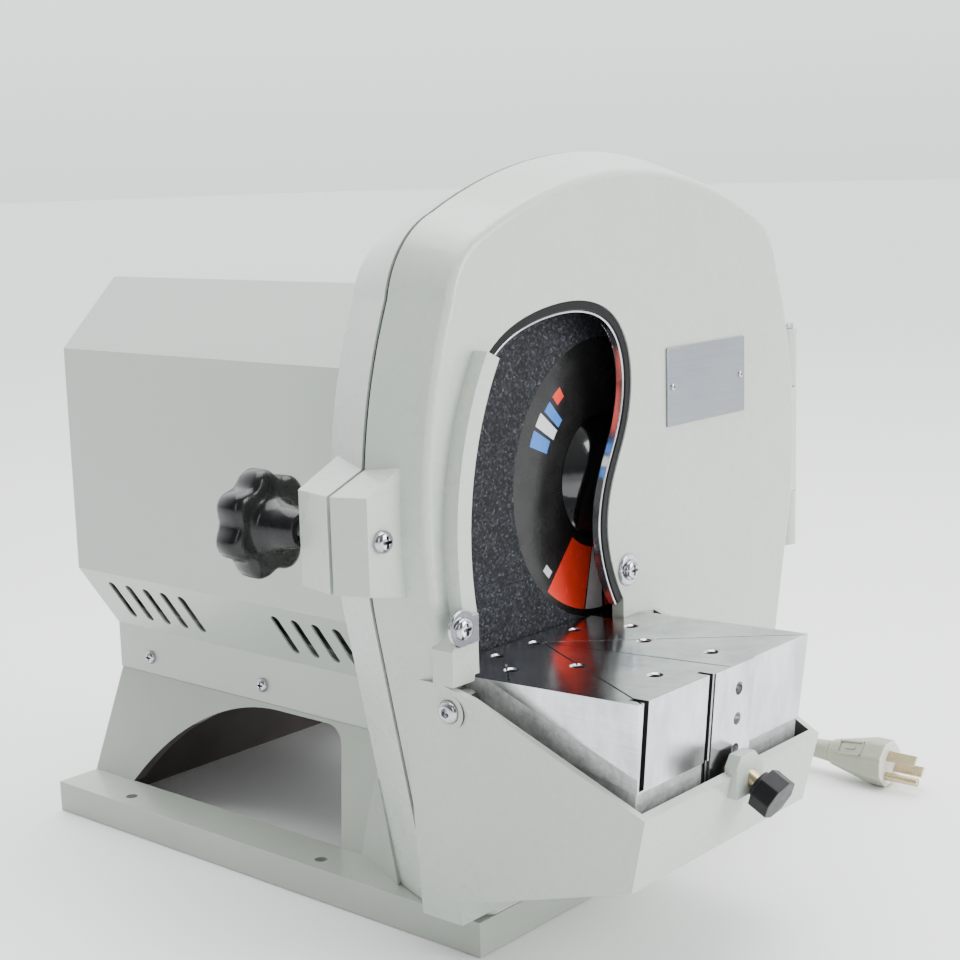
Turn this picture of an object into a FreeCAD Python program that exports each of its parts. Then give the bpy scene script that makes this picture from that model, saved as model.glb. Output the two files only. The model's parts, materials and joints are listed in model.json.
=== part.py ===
import FreeCAD, Part
import math
import os
import re
from FreeCAD import Placement, Rotation, Vector

# Wet disc trimmer: a motor turns an abrasive disc inside an arched housing, and work rests
# on a small tilting table in front of the window in the hinged cover.
# Axes: +Z up, +Y to the rear, +X to the right. The origin is the middle of the four
# bench-bolt holes, on the underside of the base.

doc = FreeCAD.newDocument("disc_trimmer")
sheet = doc.addObject("Spreadsheet::Sheet", "sizes")

driving_sizes = [
    ("flange_half_width", 127.0), ("flange_front", 190.0), ("flange_rear", 130.0),
    ("flange_height", 17.0), ("bolt_half_across", 117.5), ("bolt_half_along", 76.0),
    ("bolt_hole_radius", 3.25), ("opening_half_width", 100.0),
    ("opening_front", 74.0), ("opening_rear", 122.0),
    ("leg_half_foot", 101.0), ("leg_half_top", 77.0), ("leg_top", 74.0),
    ("deck_half_width", 74.8), ("deck_top", 112.0), ("leg_wall", 8.0), ("arch_top", 72.0),
    ("shaft_height", 205.0), ("shaft_radius", 8.5), ("running_gap", 0.05),
    ("cover_front", 190.0), ("cover_seam", 162.0), ("seal_rear", 160.0),
    ("housing_rear", 130.0), ("casting_bottom", 17.4), ("casting_wall", 6.0),
    ("cover_inner_face", 183.0), ("housing_inner_face", 136.5),
    ("disc_radius", 127.0), ("ring_inner_radius", 71.0), ("disc_face", 170.0),
    ("sheet_thickness", 1.5), ("sheet_rear", 131.5), ("sheet_front", 129.5),
    ("sheet_half_side", 102.5), ("sheet_half_top", 64.0), ("sheet_half_flange", 76.5),
    ("sheet_top", 304.0), ("sheet_shoulder", 266.0), ("sheet_haunch", 139.0),
    ("sheet_waist", 101.0), ("slot_width", 5.8), ("slot_pitch", 15.2),
    ("motor_radius", 58.0), ("motor_front", 95.0), ("motor_length", 120.0),
    ("bearing_radius", 20.0), ("bearing_width", 12.0),
    ("clamp_across", 170.0), ("clamp_height", 203.0), ("clamp_stud_radius", 5.0),
    ("clamp_knob_radius", 25.5), ("hinge_across", 172.0), ("hinge_depth", 171.0),
    ("hinge_radius", 7.8), ("hinge_pin_radius", 4.0),
    ("table_middle", 65.0), ("table_half_width", 68.5), ("table_pivot_depth", 193.0),
    ("table_pivot_height", 124.0), ("table_raise", 2.0), ("table_reach", 93.0),
    ("pivot_radius", 4.0), ("lock_across", 57.0), ("lock_depth", 292.5), ("lock_height", 88.5),
    ("lock_stud_radius", 3.95), ("lock_slope", 28.0), ("tray_wall", 3.5), ("valve_across", 118.0),
    ("valve_height", 287.0), ("pipe_radius", 3.0), ("gland_along", 104.0),
    ("gland_height", 44.0), ("lead_radius", 3.5), ("coil_across", 173.5),
    ("coil_depth", 64.0), ("coil_outer_radius", 45.0), ("coil_inner_radius", 30.5),
    ("coil_height", 21.0), ("plug_across", 188.0), ("plug_rear", 196.0),
    ("plug_half_width", 13.0), ("plug_length", 38.0), ("plug_roll", 45.0),
]
for row, (alias, value) in enumerate(driving_sizes, start=1):
    sheet.set(f"A{row}", alias)
    sheet.set(f"B{row}", str(value))
    sheet.setAlias(f"B{row}", alias)
doc.recompute()
size = {alias: float(sheet.get(alias)) for alias, value in driving_sizes}

turns = {
    "Z": Rotation(),
    "X": Rotation(Vector(0, 1, 0), 90),
    "Y": Rotation(Vector(1, 0, 0), -90),
    "-Y": Rotation(Vector(1, 0, 0), 90),
}
nodes = {}


def formula(value):
    """Spreadsheet expression for a number or for words such as 'disc_radius - 2'."""
    return re.sub(r"\b([a-z]+_[a-z_]+)\b", r"sizes.\1", str(value))


def bind(obj, **properties):
    for name, value in properties.items():
        obj.setExpression(name, formula(value))
    return obj


def place(obj, at, along="Z"):
    obj.Placement = Placement(Vector(), turns[along])
    for axis, value in zip("xyz", at):
        obj.setExpression(f"Placement.Base.{axis}", formula(value))
    return obj


def cylinder(radius, height, at, along="Z"):
    obj = doc.addObject("Part::Cylinder", "cylinder")
    return place(bind(obj, Radius=radius, Height=height), at, along)


def cone(first, second, height, at, along="Z"):
    obj = doc.addObject("Part::Cone", "cone")
    return place(bind(obj, Radius1=first, Radius2=second, Height=height), at, along)


def box(across, depth, height, at):
    """Box with its lowest corner at the given place."""
    obj = doc.addObject("Part::Box", "box")
    return place(bind(obj, Length=across, Width=depth, Height=height), at)


def fuse(*pieces):
    obj = doc.addObject("Part::MultiFuse", "fuse")
    obj.Shapes = list(pieces)
    obj.Refine = True
    return obj


def cut(base, *tools):
    obj = doc.addObject("Part::Cut", "cut")
    obj.Base = base
    obj.Tool = tools[0] if len(tools) == 1 else fuse(*tools)
    return obj


def tube(outer, inner, height, at, along="Z"):
    return cut(cylinder(outer, height, at, along), cylinder(inner, height, at, along))


def shaped(shape):
    obj = doc.addObject("Part::Feature", "shaped")
    obj.Shape = shape
    return obj


def node(name, obj):
    obj.Label = name
    nodes[name] = obj
    return obj


def turned(solid):
    return solid if solid.Volume > 0 else solid.reversed()


def polygon(points):
    """Closed wire through a list of vectors."""
    return Part.makePolygon(list(points) + [points[0]])


def prism(points, direction):
    return Part.Face(polygon(points)).extrude(direction)


def across_section(points, depth):
    """(x, z) pairs as vectors in the plane y = -depth."""
    return [Vector(x, -depth, z) for x, z in points]


def mirrored(half):
    """Closed outline from its right half, listed from the bottom to the top."""
    return half + [(-x, z) for x, z in reversed(half)]


# --- the arched outline that the housing, the seal and the front cover share ---

half_foot, half_hip, half_side = 127.0, 156.7, 163.0
hip_height, side_height = 154.0, 215.0
shoulder_low, shoulder_mid, shoulder_high = (144.0, 304.0), (133.0, 327.0), (113.0, 340.5)
crown_height = 366.0


def arched_wire(depth, inset, bottom):
    """Arched outline in the plane y = -depth, drawn in by the inset all round but the foot."""
    right = [
        (half_foot - inset, bottom),
        (half_hip - inset, hip_height),
        (half_side - inset, side_height),
        (shoulder_low[0] - 0.97 * inset, shoulder_low[1] - 0.2 * inset),
        (shoulder_mid[0] - 0.75 * inset, shoulder_mid[1] - 0.65 * inset),
        (shoulder_high[0] - 0.45 * inset, shoulder_high[1] - 0.9 * inset),
    ]
    foot, hip, side, low, mid, high = across_section(right, depth)
    foot_l, hip_l, side_l, low_l, mid_l, high_l = across_section([(-x, z) for x, z in right], depth)
    crown = Vector(0, -depth, crown_height - inset)
    return Part.Wire([edge.toShape() for edge in (
        Part.LineSegment(foot_l, foot), Part.LineSegment(foot, hip), Part.Arc(hip, side, low),
        Part.Arc(low, mid, high), Part.Arc(high, crown, high_l), Part.Arc(high_l, mid_l, low_l),
        Part.Arc(low_l, side_l, hip_l), Part.LineSegment(hip_l, foot_l))])


def arched_block(near, near_inset, far, far_inset, bottom):
    wires = [arched_wire(near, near_inset, bottom), arched_wire(far, far_inset, bottom)]
    return Part.makeLoft(wires, True, True)


def boss_block(near, near_out, far, far_out):
    """Clamp boss at the left side, with a sloping top, between two depths."""
    middle = size["clamp_height"]
    sections = []
    for depth, out in ((near, near_out), (far, far_out)):
        corners = [(-148, middle - 29), (-out, middle - 23), (-out, middle + 20), (-148, middle + 34)]
        sections.append(polygon(across_section(corners, depth)))
    return Part.makeLoft(sections, True, True)


# --- base stand ---

def make_flange():
    body = doc.addObject("PartDesign::Body", "flange")
    plane = [f for f in body.Origin.OriginFeatures if f.Role == "XY_Plane"][0]

    def sketch(name, geometry):
        obj = body.newObject("Sketcher::SketchObject", name)
        obj.AttachmentSupport = [(plane, "")]
        obj.MapMode = "FlatFace"
        obj.addGeometry(geometry, False)
        return obj

    def rectangle(low, high):
        corners = [Vector(low[0], low[1]), Vector(high[0], low[1]), Vector(*high), Vector(low[0], high[1])]
        return [Part.LineSegment(a, b) for a, b in zip(corners, corners[1:] + corners[:1])]

    half, front, rear = size["flange_half_width"], size["flange_front"], size["flange_rear"]
    plate = body.newObject("PartDesign::Pad", "plate")
    plate.Profile = sketch("plate_outline", rectangle((-half, -front), (half, rear)))
    bind(plate, Length="flange_height")
    middle = size["opening_half_width"]
    holes = rectangle((-middle, -size["opening_front"]), (middle, size["opening_rear"]))
    across, along = size["bolt_half_across"], size["bolt_half_along"]
    holes += [Part.Circle(Vector(sx * across, sy * along), Vector(0, 0, 1), size["bolt_hole_radius"])
              for sx in (-1, 1) for sy in (-1, 1)]
    openings = body.newObject("PartDesign::Pocket", "openings")
    openings.Profile = sketch("openings_outline", holes)
    openings.Reversed = True
    bind(openings, Length="flange_height")
    doc.recompute()
    solid = 2 * half * (front + rear) * size["flange_height"]
    print("flange openings take", round(1 - body.Shape.Volume / solid, 3), "of the plate")
    return body


def make_pedestal():
    foot, top, wall = size["leg_half_foot"], size["leg_half_top"], size["leg_wall"]
    low, high, deck = size["flange_height"], size["leg_top"], size["deck_top"]
    upper, back = size["deck_half_width"], size["flange_rear"]
    front = size["housing_rear"]
    outer = mirrored([(foot, low), (top, high), (upper, high), (upper, deck)])
    inner = mirrored([(foot - wall, low), (top - wall, high), (upper - wall, deck - wall)])
    shell = prism(across_section(outer, front), Vector(0, front + back, 0))
    shell = shell.cut(prism(across_section(inner, front - wall), Vector(0, front + back - 2 * wall, 0)))
    # side arches: leaning front edge, flat crown, one long curve down to the rear
    crown, spring = size["arch_top"], 95.0
    front_low = Vector(-140, -size["opening_front"], low)
    front_high = Vector(-140, -size["opening_front"] + 16, crown - 11)
    corner = Vector(-140, -size["opening_front"] + 20.5, crown - 3.5)
    crown_front = Vector(-140, -size["opening_front"] + 29, crown)
    bend = Vector(-140, -5, crown)
    swing = spring + 5
    radius = (swing ** 2 + (crown - low) ** 2) / (2 * (crown - low))
    middle = Vector(-140, bend.y + swing * 0.55, crown - radius + math.sqrt(radius ** 2 - (swing * 0.55) ** 2))
    end = Vector(-140, spring, low)
    arch = Part.Wire([Part.LineSegment(front_low, front_high).toShape(),
                      Part.Arc(front_high, corner, crown_front).toShape(),
                      Part.LineSegment(crown_front, bend).toShape(),
                      Part.Arc(bend, middle, end).toShape(), Part.LineSegment(end, front_low).toShape()])
    return shaped(shell.cut(Part.Face(arch).extrude(Vector(280, 0, 0))))


def make_gusset(side):
    """Cast web that fairs the housing's wide foot into the front column of one leg."""
    low, high = size["flange_height"], size["leg_top"]
    near, far = size["housing_rear"], 84.0
    foot, top = size["leg_half_foot"], size["leg_half_top"]
    wide = [(side * 60, low), (side * 118, low), (side * 129, high), (side * 60, high)]
    narrow = [(side * 60, low), (side * (foot - 2), low), (side * (top - 1), high), (side * 60, high)]
    sections = [polygon(across_section(wide, near)), polygon(across_section(narrow, far))]
    return shaped(Part.makeLoft(sections, True, True))


motor_bolt_places = [(sx * 50, y) for sx in (-1, 1) for y in (-75, 5)]
housing_bolt_places = [(sx * 58, z) for sx in (-1, 1) for z in (40, 92)]
gland_seat = cylinder(12, 11.6, (83, "gland_along", "gland_height"), "X")
stand_solid = fuse(make_flange(), make_pedestal(), make_gusset(-1), make_gusset(1), gland_seat)
stand_holes = [cylinder(3.1, 12, (x, y, "deck_top - 10")) for x, y in motor_bolt_places]
stand_holes += [cylinder(3.1, 20, (x, "-housing_rear - 1", z), "Y") for x, z in housing_bolt_places]
stand_holes.append(cylinder(8, 30, (75, "gland_along", "gland_height"), "X"))
stand_holes.append(cylinder(8.2, 20, (36, "-housing_rear - 1", 44), "Y"))
node("base_stand", cut(stand_solid, *stand_holes))

# --- wheel housing and its seal ---

bottom, wall = size["casting_bottom"], size["casting_wall"]
dish = arched_block(size["seal_rear"], 0, size["housing_rear"], 11, bottom)
dish = dish.fuse(boss_block(size["seal_rear"], 184, size["housing_rear"] + 7, 178.6))
hinge_x, hinge_y = size["hinge_across"], -size["hinge_depth"]
web_points = [(164.4, hinge_y), (hinge_x + size["hinge_radius"], hinge_y),
              (hinge_x + size["hinge_radius"], -157), (152, -132), (152, -159.9), (164.4, -159.9)]
housing_knuckles = [(140.0, 31.5), (232.5, 32.5)]
for base, height in housing_knuckles:
    dish = dish.fuse(prism([Vector(x, y, base) for x, y in web_points], Vector(0, 0, height)))
    dish = dish.fuse(Part.makeCylinder(size["hinge_radius"], height, Vector(hinge_x, hinge_y, base)))
dish = dish.cut(arched_block(size["seal_rear"] + 0.1, wall, size["housing_inner_face"], wall + 9, bottom + wall))
housing_holes = [
    cylinder(14, 10, (0, "-housing_inner_face - 1", "shaft_height"), "Y"),
    cylinder("clamp_stud_radius + running_gap * 2", 40, ("-clamp_across", -165, "clamp_height"), "Y"),
    cylinder("hinge_pin_radius", 140, ("hinge_across", "-hinge_depth", 133)),
    cylinder(7, 10, ("valve_across", "-housing_inner_face - 1", "valve_height"), "Y"),
    cylinder(8, 10, (36, "-housing_inner_face - 1", 44), "Y"),
]
housing_holes += [cylinder(3.1, 12, (x, -139, z), "Y") for x, z in housing_bolt_places]
node("wheel_housing", cut(shaped(dish), *housing_holes))

seal = arched_block(size["cover_seam"], 1.2, size["seal_rear"], 1.2, bottom + 1)
seal = seal.cut(arched_block(size["cover_seam"] + 1, wall, size["seal_rear"] - 1, wall, bottom + wall))
node("housing_seal", shaped(seal))

# --- front cover with its window, lip, clamp boss and knuckle ---

# right-hand edge of the window from the top left corner round to the sill, as (x, z)
window_curve = [(-112, 277), (-98, 287), (-80, 293.5), (-58, 297), (-35, 296), (-15.5, 287.5), (-5, 272),
                (-2.5, 253), (-7.5, 231), (-18, 209), (-23.4, 187), (-18.5, 161), (-11.5, 147)]
lip_curve = [(-112, 277), (-126, 247), (-134, 208), (-131.5, 165)]
window_sill = 118.0


def spline_edge(points, depth):
    curve = Part.BSplineCurve()
    curve.interpolate(across_section(points, depth))
    return curve.toShape()


def beside(points, distance):
    """Points moved off a run of points, to the right of its direction of travel."""
    moved = []
    for index, (x, z) in enumerate(points):
        ahead = points[min(index + 1, len(points) - 1)]
        behind = points[max(index - 1, 0)]
        run, rise = ahead[0] - behind[0], ahead[1] - behind[1]
        span = math.hypot(run, rise)
        moved.append((x + distance * rise / span, z - distance * run / span))
    return moved


def strip(points, first, second, near, far):
    """Solid band along a run of points, between two sideways distances and two depths."""
    edge_a, edge_b = beside(points, first), beside(points, second)
    start = Part.LineSegment(*across_section([edge_a[0], edge_b[0]], near)).toShape()
    end = Part.LineSegment(*across_section([edge_a[-1], edge_b[-1]], near)).toShape()
    wire = Part.Wire(Part.__sortEdges__([spline_edge(edge_a, near), spline_edge(edge_b, near), start, end]))
    return Part.Face(wire).extrude(Vector(0, near - far, 0))


def window_block():
    depth = size["cover_front"] + 12
    corners = across_section([window_curve[-1], (window_curve[-1][0], window_sill),
                              (lip_curve[-1][0], window_sill), lip_curve[-1]], depth)
    edges = [spline_edge(window_curve, depth), spline_edge(lip_curve, depth)]
    edges += [Part.LineSegment(a, b).toShape() for a, b in zip(corners, corners[1:])]
    return Part.Face(Part.Wire(Part.__sortEdges__(edges))).extrude(Vector(0, 40, 0))


face_depth = size["cover_front"]
cover = arched_block(size["cover_seam"], 0, face_depth, 9.5, bottom)
front_edges = [e for e in cover.Edges
               if all(abs(v.Point.y + face_depth) < 1e-6 and v.Point.z > 0 for v in e.Vertexes)
               and e.CenterOfMass.z > bottom + 1]
cover = cover.makeFillet(5.0, front_edges)
cover = cover.fuse(boss_block(178, 178, size["cover_seam"], 184))
flank_low, flank_high = 20.0, 136.2
flank_sections = []
for level in (flank_low, flank_high):
    wall_x = -size["table_middle"] - 74 - 10 * (level - 20) / 130
    outline = [(wall_x, -face_depth), (wall_x + 25, -face_depth), (wall_x + 25, -166), (wall_x, -166)]
    flank_sections.append(polygon([Vector(x, y, level) for x, y in outline]))
cover = cover.fuse(Part.makeLoft(flank_sections, True, True))
lip_thickness, lip_height = 9.0, 8.0
cover = cover.fuse(strip(lip_curve, 0, lip_thickness, face_depth + lip_height, face_depth - 4))
ear = [(-149, 136.2), (-134.6, 136.2), (-134.6, 139), (-131.5, 139), (-131.5, 165), (-140.5, 165),
       (-149, 152)]
cover = cover.fuse(prism(across_section(ear, face_depth + lip_height), Vector(0, lip_height + 4, 0)))
cover = cover.cut(arched_block(size["cover_seam"] - 0.1, wall, size["cover_inner_face"], wall + 7.5,
                               bottom + wall))
cover = cover.cut(window_block())
drain_slot = Part.makeBox(84, 20, 14, Vector(-size["table_middle"] - 42, -face_depth - 5, 44))
cover = cover.cut(drain_slot)
pivot_y, pivot_z = -size["table_pivot_depth"], size["table_pivot_height"]
for radius, start, length in ((size["pivot_radius"] + 0.1, -12.5, 32), (size["pivot_radius"] + 0.1, -150, 19),
                              (5.7, -153, 6.6)):
    cover = cover.cut(Part.makeCylinder(radius, length, Vector(start, pivot_y, pivot_z), Vector(1, 0, 0)))
door_web = [(150, -184), (hinge_x, hinge_y - size["hinge_radius"]), (hinge_x, -165), (157, -165), (150, -175)]
cover = cover.fuse(prism([Vector(x, y, 172) for x, y in door_web], Vector(0, 0, 60)))
cover = cover.fuse(Part.makeCylinder(size["hinge_radius"], 60, Vector(hinge_x, hinge_y, 172)))
node("front_cover", cut(
    shaped(cover.removeSplitter()),
    cylinder("hinge_pin_radius + running_gap", 70, ("hinge_across", "-hinge_depth", 168)),
    cylinder("clamp_stud_radius + 1.2", 14, ("-clamp_across", -175, "clamp_height"), "Y"),
    cylinder(3, 20, ("-clamp_across", -180, "clamp_height"), "Y")))
node("hinge_pin", fuse(
    cylinder("hinge_pin_radius", 127, ("hinge_across", "-hinge_depth", 139)),
    cylinder("hinge_pin_radius + 2", 3, ("hinge_across", "-hinge_depth", 265))))
trim_curve = window_curve[:]
node("window_trim", shaped(strip(trim_curve, 0, 4.5, face_depth - 0.6, size["cover_inner_face"])))
node("trim_bead", shaped(strip(trim_curve, 4.5, 5.7, face_depth - 1.2, size["cover_inner_face"] + 1.5)))

# --- drip tray ---

lock_slope = math.radians(size["lock_slope"])
lock_out = Vector(0, -math.cos(lock_slope), -math.sin(lock_slope))
lock_base = Vector(-size["lock_across"], -size["lock_depth"], size["lock_height"])


def along_lock(radius, start, length):
    """Cylinder on the sloping axis of the table lock, measured out from the lug's face."""
    return Part.makeCylinder(radius, length, lock_base + lock_out * start, lock_out)


def tray_block(inset, top_extra, back):
    middle, near = -size["table_middle"], 290.0
    rear = [(84 - inset, 170), (84 - inset, 150), (74 - inset, 20)]
    front = [(74 - inset, 170), (74 - inset, 150), (67.5 - inset, 20)]
    sections = [polygon(across_section([(middle + x, z) for x, z in mirrored(list(reversed(half)))], depth))
                for half, depth in ((rear, back), (front, near))]
    solid = Part.makeLoft(sections, True, True)
    slope = inset * 1.05
    profile = [(back, 136 + top_extra), (206, 131.5 + top_extra), (near - slope, 92 + top_extra),
               (near - slope, 92), (282 - slope, 58 + slope), (back, 31 + slope)]
    side = prism([Vector(-200, -depth, z) for depth, z in profile], Vector(300, 0, 0))
    return solid.common(side)


tray = tray_block(0, 0, size["cover_front"])
tray = tray.cut(tray_block(size["tray_wall"], 40, size["cover_front"] - 0.5))
lug = [(-70, 82), (-70, 96), (-66, 101), (-55, 101), (-48, 94), (-48, 82)]
tray = tray.fuse(prism(across_section(lug, size["lock_depth"]), Vector(0, size["lock_depth"] - 286.3, 0)))
left_wall, right_wall = -size["table_middle"] - 83, -size["table_middle"] + 83
tray = tray.fuse(Part.makeCylinder(8, 13, Vector(left_wall + 1, pivot_y - 0.3, pivot_z), Vector(1, 0, 0)))
tray = tray.fuse(Part.makeCylinder(8, 13, Vector(right_wall - 14, pivot_y - 0.3, pivot_z), Vector(1, 0, 0)))
tray = tray.cut(Part.makeBox(400, 20, 400, Vector(-200, -size["cover_front"], 0)))
tray = tray.cut(along_lock(size["lock_stud_radius"] + size["running_gap"], -14, 24))
node("drip_tray", cut(
    shaped(tray.removeSplitter()),
    cylinder("pivot_radius", 200, (-165, "-table_pivot_depth", "table_pivot_height"), "X"),
    cylinder(5.6, 10, (-156.5, "-table_pivot_depth", "table_pivot_height"), "X")))
node("pivot_screw", fuse(
    cut(cylinder(5.5, 3.2, (-149.7, "-table_pivot_depth", "table_pivot_height"), "X"),
        cylinder(2.7, 2.3, (-149.7, "-table_pivot_depth", "table_pivot_height"), "X")),
    cylinder("pivot_radius", 24.5, (-146.5, "-table_pivot_depth", "table_pivot_height"), "X")))
node("pivot_pin", cylinder("pivot_radius", 24, (-7, "-table_pivot_depth", "table_pivot_height"), "X"))

# --- small pieces on the front cover ---

clip = fuse(cylinder(8.5, 1.8, (-143.5, -199.8, 162), "Y"), box(11, 1.8, 13, (-143.5, -199.8, 154)))
node("left_clip", clip)
node("right_clip", cylinder(8, 1.5, (-7.5, -191.5, 161), "Y"))
clip_screws = [fuse(cylinder(5.2, 2.6, (x, y, z), "Y"), cylinder(2, 9, (x, y, z), "Y"))
               for x, y, z in ((-143.5, -202.4, 162), (-7.5, -194.1, 161))]
node("clip_screws", doc.addObject("Part::Compound", "compound")).Links = clip_screws
node("boss_screw", fuse(
    cut(cylinder(5, 4, ("-clamp_across", -182, "clamp_height"), "Y"),
        cylinder(2.4, 2.4, ("-clamp_across", -182, "clamp_height"), "Y")),
    cylinder(3, 2.6, ("-clamp_across", -178, "clamp_height"), "Y")))
node("badge_plate", box(72, 1.2, 40, (27, "-cover_front - 1.2", 228)))
node("badge_rivets", doc.addObject("Part::Compound", "compound")).Links = [
    cylinder(1.8, 1, (x, "-cover_front - 2.2", 248), "Y") for x in (31.5, 94.5)]

# --- work table, drawn level about its pivot and then raised at the front ---

def make_table():
    half, reach = size["table_half_width"], size["table_reach"]
    top, low_front = 13.2, -27.0
    ends = [(half, top), (half - 3, low_front)]
    plan = Part.Face(polygon([Vector(x, -reach - 3, z) for x, z in mirrored(list(reversed(ends)))]))
    block = plan.extrude(Vector(0, reach + 6, 0))
    side = [(-reach, top), (2, top), (2, -4), (-12, -8), (-reach + 4.8, low_front)]
    block = block.common(prism([Vector(-half - 5, y, z) for y, z in side], Vector(2 * half + 10, 0, 0)))
    block = block.fuse(Part.makeBox(115, 21, 14.2, Vector(-half + 3, 0, -1)))
    skirt = [(-reach + 5.6, low_front + 2), (-10, -6), (-12, -16), (-reach + 7, -39)]
    block = block.fuse(prism([Vector(-64.8, y, z) for y, z in skirt], Vector(129.6, 0, 0)))
    band = [(-reach - 1.2, top), (-reach + 14, top), (-reach + 14, -36), (-reach + 4.8, -38)]
    block = block.fuse(prism([Vector(-12, y, z) for y, z in band], Vector(32, 0, 0)))
    tools = []
    for x, y in ((-26.4, -72), (18.4, -72), (-30.8, -33), (20.5, -33), (-51, -11), (41, -11),
                 (-34.9, 10.5), (-7.3, 10.5), (22, 9.5)):
        tools.append(Part.makeCylinder(3.0, 12, Vector(x, y, top - 8)))
        tools.append(Part.makeCone(3.0, 3.8, 0.8, Vector(x, y, top - 0.8)))
    for z in (1.5, -12.5, -27):
        tools.append(Part.makeCylinder(2.9, 9, Vector(lock_local, -reach - 3, z), Vector(0, 1, 0)))
        tools.append(Part.makeCone(4.4, 2.9, 1.5, Vector(lock_local, -reach - 1.2, z), Vector(0, 1, 0)))
    # upright groove beside the band, and the notch at the left front corner
    tools.append(Part.makeBox(2.8, 8, 52, Vector(-15.4, -reach - 1, -38)))
    tools.append(Part.makeBox(3.6, 9, 41, Vector(-half + 4.2, -reach - 1, -26)))
    for start, end in (((-5, 8), (-66, -93)), ((-5, 8), (1, -93)), ((-5, 8), (66, -93)), ((-45, -3), (-66, -22))):
        run = Vector(end[0] - start[0], end[1] - start[1], 0)
        line = Part.makeBox(run.Length, 0.9, 0.8, Vector(0, -0.45, top - 0.7))
        line.Placement = Placement(Vector(start[0], start[1], 0), Rotation(Vector(1, 0, 0), run))
        tools.append(line)
    for side_x in (-half - 1, half - 12):
        tools.append(Part.makeCylinder(size["pivot_radius"] + size["running_gap"], 14,
                                       Vector(side_x, 0, 0), Vector(1, 0, 0)))
    return block.cut(Part.makeCompound(tools)).removeSplitter()


lock_local = size["table_middle"] - size["lock_across"]
table = node("work_table", shaped(make_table()))
table.Placement = Placement(Vector(-size["table_middle"], pivot_y, pivot_z),
                            Rotation(Vector(1, 0, 0), -size["table_raise"]))


knob_corners = []
for step in range(8):
    knob_angle = math.radians(45 * step)
    lock_up = Vector(0, -math.sin(lock_slope), math.cos(lock_slope))
    knob_corners.append(lock_base + lock_out * 6 + Vector(1, 0, 0) * 10.3 * math.cos(knob_angle)
                        + lock_up * 10.3 * math.sin(knob_angle))
node("table_lock_stud", shaped(along_lock(size["lock_stud_radius"], -3.5, 15)))
node("table_lock_knob", shaped(prism(knob_corners, lock_out * 10).fuse(along_lock(6.5, 3.5, 2.6))
                               .cut(along_lock(size["lock_stud_radius"], 3, 8.5))))

# --- clamp that holds the cover shut ---

node("clamp_stud", cylinder("clamp_stud_radius", 62, ("-clamp_across", -172, "clamp_height"), "Y"))
lobes = 7
knob_cuts = [cylinder(10, 30, (f"-clamp_across + (clamp_knob_radius + 7.5) * {math.cos(a):.5f}", -116,
                               f"clamp_height + (clamp_knob_radius + 7.5) * {math.sin(a):.5f}"), "Y")
             for a in (2 * math.pi * k / lobes + 0.35 for k in range(lobes))]
knob_disc = cut(cylinder("clamp_knob_radius", 17, ("-clamp_across", -112, "clamp_height"), "Y"), *knob_cuts)
node("clamp_knob", cut(fuse(knob_disc, cone(8, 12.5, 19, ("-clamp_across", -131, "clamp_height"), "Y")),
                       cylinder("clamp_stud_radius", 22, ("-clamp_across", -132, "clamp_height"), "Y")))

# --- sheet-metal motor cover ---

def cover_section(inset):
    return mirrored([(size["sheet_half_flange"] - inset, size["leg_top"]),
                     (size["sheet_half_flange"] - inset, size["sheet_waist"] - 0.3 * inset),
                     (size["sheet_half_side"] - inset, size["sheet_haunch"] - 0.3 * inset),
                     (size["sheet_half_side"] - inset, size["sheet_shoulder"] - 0.4 * inset),
                     (size["sheet_half_top"] - 0.4 * inset, size["sheet_top"] - inset)])


def slot_block(x, y, z, tilt, length):
    """Round-ended slot cutter through a face whose outward tilt from +X is given in degrees."""
    half = size["slot_width"] / 2
    flat = Part.makeBox(20, 2 * half, length - 2 * half, Vector(-10, -half, -length / 2 + half))
    for end in (-1, 1):
        flat = flat.fuse(Part.makeCylinder(half, 20, Vector(-10, 0, end * (length / 2 - half)), Vector(1, 0, 0)))
    flat.Placement = Placement(Vector(x, y, z), Rotation(Vector(0, 1, 0), tilt))
    return flat


def make_motor_cover():
    front, rear, thick = size["sheet_front"], size["sheet_rear"], size["sheet_thickness"]
    shell = prism(across_section(cover_section(0), front), Vector(0, front + rear, 0))
    hollow = prism(across_section(cover_section(thick), front + 1), Vector(0, front + 1 + rear - thick, 0))
    opening = Part.makeBox(2 * (size["sheet_half_flange"] - thick), front + rear - thick, 30,
                           Vector(-size["sheet_half_flange"] + thick, -front, size["leg_top"] - 1))
    shell = shell.cut(hollow).cut(opening)
    haunch_x = (size["sheet_half_flange"] + size["sheet_half_side"]) / 2
    haunch_z = (size["sheet_waist"] + size["sheet_haunch"]) / 2
    tools = []
    for first in (109.0, -27.0):
        for count in range(5):
            y = first - count * size["slot_pitch"]
            tools.append(slot_block(haunch_x, y, haunch_z + 0.6, 34.4, 29))
            tools.append(slot_block(-haunch_x, y, haunch_z + 0.6, 180 - 34.4, 29))
    for count in range(7):
        grille = Part.makeBox(90, 10, 4, Vector(-45, rear - 5, 168 + count * 12))
        tools.append(grille)
    tools.append(Part.makeBox(10, 28, 20, Vector(97, -64, 150)))
    return shell.cut(Part.makeCompound(tools))


cover_screw_places = [(103, 84.0), (7, 84.0), (-89, 84.0)]
screw_holes = [cylinder(2.1, 180, (-90, y, z), "X") for y, z in cover_screw_places]
node("motor_cover", cut(shaped(make_motor_cover()), *screw_holes))
cover_screws = []
for side in (-1, 1):
    for y, z in cover_screw_places:
        head_x, shank_x = (-79.1, -76.6) if side < 0 else (76.5, 75.1)
        shank = cylinder(2.0, 1.5, (shank_x, y, z), "X")
        cover_screws.append(fuse(cylinder(4.0, 2.6, (head_x, y, z), "X"), shank))
node("cover_screws", doc.addObject("Part::Compound", "compound")).Links = cover_screws

# --- motor ---

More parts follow.
